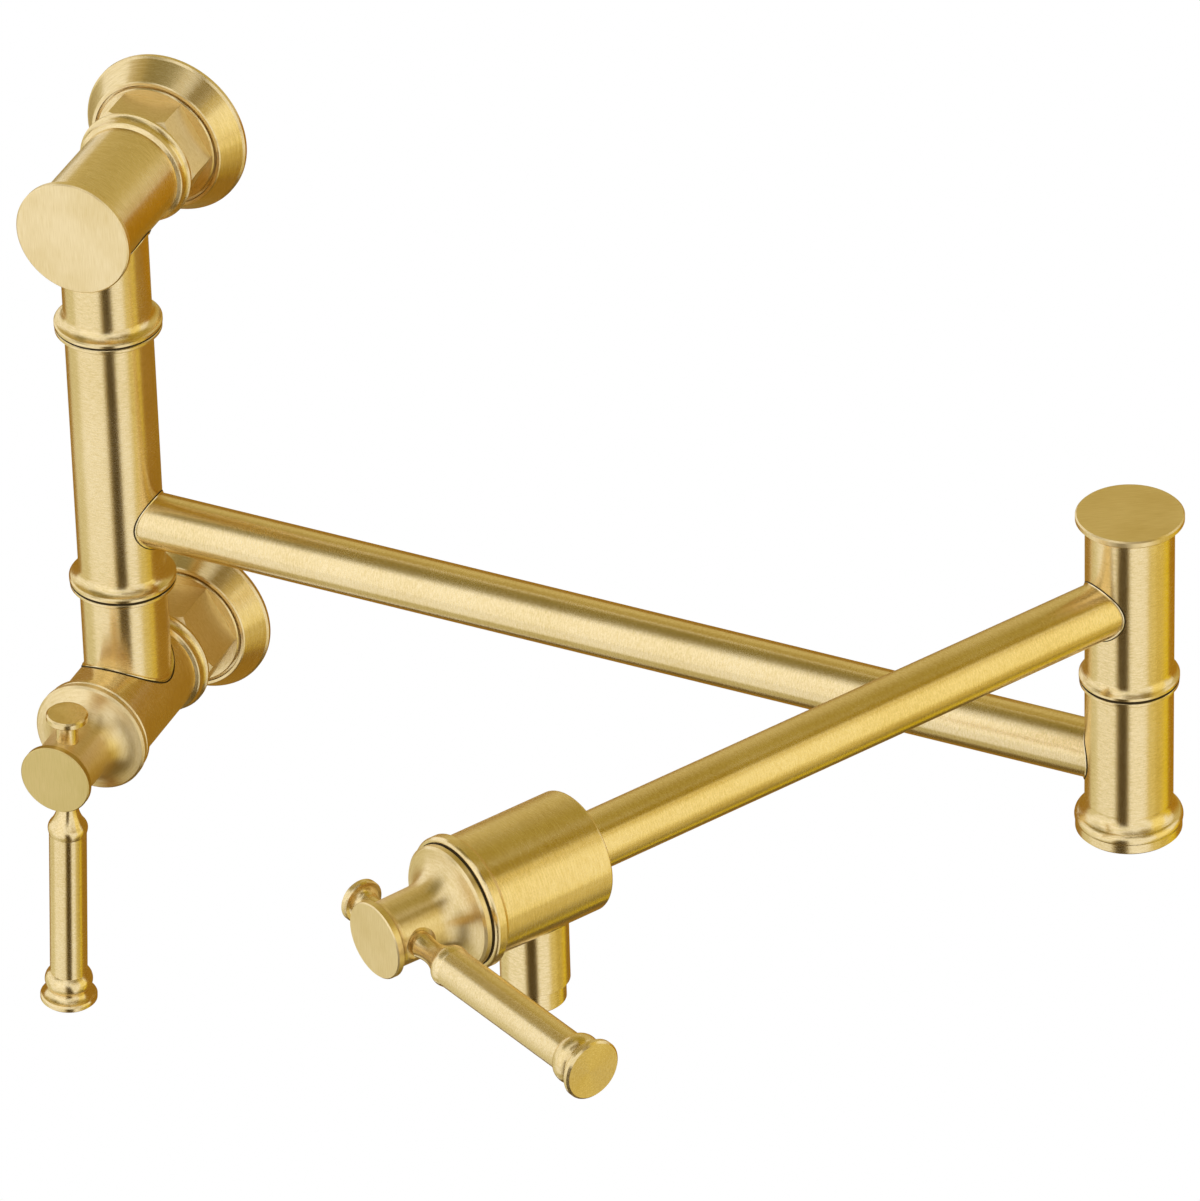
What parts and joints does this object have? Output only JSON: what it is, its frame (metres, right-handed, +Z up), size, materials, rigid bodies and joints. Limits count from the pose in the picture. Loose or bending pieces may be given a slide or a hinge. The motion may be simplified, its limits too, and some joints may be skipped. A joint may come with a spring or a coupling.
{
  "type": "wall mounted pot filler",
  "caption": "Wall mounted pot filler with an upright swivel post, a double-jointed folding arm, a lever valve at the wall and a lever valve above the spout.",
  "frame": {"origin": "on the wall plane at the axis of the lower inlet", "axes": "+Y points into the wall along the inlet, +Z up, +X to the right along the wall; the object is in front of the wall, at negative Y"},
  "size_m": [0.4412, 0.4181, 0.337],
  "materials": {
    "brushed_gold": "brushed, satin",
    "raw_brass": "machined",
    "rubber_seal": "matt",
    "white_plastic": "matt"
  },
  "bodies": {
    "wall_body": {"lower_inlet_connector": "raw_brass", "lower_flange": "brushed_gold", "lower_union_washer": "rubber_seal", "lower_union_nut": "brushed_gold", "upper_inlet_connector": "raw_brass", "upper_flange": "brushed_gold", "upper_union_washer": "rubber_seal", "upper_union_nut": "brushed_gold", "upper_body": "brushed_gold", "upper_front_cap": "brushed_gold", "upper_stub": "brushed_gold", "lower_stub": "brushed_gold", "lower_body": "brushed_gold", "lower_cartridge": "raw_brass", "lower_bonnet_nut": "raw_brass", "lower_swivel_washer": "white_plastic", "upper_swivel_washer": "white_plastic", "lower_seal_rings": "rubber_seal"},
    "first_arm": {"swivel_sleeve": "brushed_gold", "arm_1_tube": "brushed_gold", "elbow_lower": "brushed_gold", "elbow_foot_plug": "raw_brass"},
    "second_arm": {"elbow_upper": "brushed_gold", "elbow_top_cap": "brushed_gold", "elbow_swivel_washer": "white_plastic", "elbow_seal_rings": "rubber_seal", "arm_2_tube": "brushed_gold", "spout_valve_body": "brushed_gold", "spout_cartridge": "raw_brass", "spout_bonnet_nut": "raw_brass", "nozzle": "brushed_gold", "aerator_housing": "brushed_gold", "aerator_insert": "white_plastic"},
    "lower_handle": {"lower_handle_hub": "brushed_gold", "lower_handle_cap": "brushed_gold", "lower_handle_screw": "raw_brass", "lower_handle_spindle": "raw_brass", "lower_handle_lever": "brushed_gold", "lower_handle_finial": "brushed_gold"},
    "spout_handle": {"spout_handle_hub": "brushed_gold", "spout_handle_cap": "brushed_gold", "spout_handle_screw": "raw_brass", "spout_handle_spindle": "raw_brass", "spout_handle_lever": "brushed_gold", "spout_handle_finial": "brushed_gold"}
  },
  "joints": [
    {"name": "wall_swivel", "type": "hinge", "parent": "wall_body", "child": "first_arm", "pos_m": [0, -0.0551, 0.0765], "axis": [0, 0, 1], "range_deg": [-177.1, 2.8]},
    {"name": "elbow_swivel", "type": "hinge", "parent": "first_arm", "child": "second_arm", "pos_m": [0.39162, -0.07446, 0.1102], "axis": [0, 0, 1], "range_deg": [-63.5, 296.5]},
    {"name": "lower_valve_turn", "type": "hinge", "parent": "wall_body", "child": "lower_handle", "pos_m": [0, -0.1073, 0], "axis": [0, -1, 0], "range_deg": [0, 90]},
    {"name": "spout_valve_turn", "type": "hinge", "parent": "second_arm", "child": "spout_handle", "pos_m": [0.24026, -0.34419, 0.1423], "axis": [-0.4894, -0.8721, 0], "range_deg": [0, 90]}
  ]
}
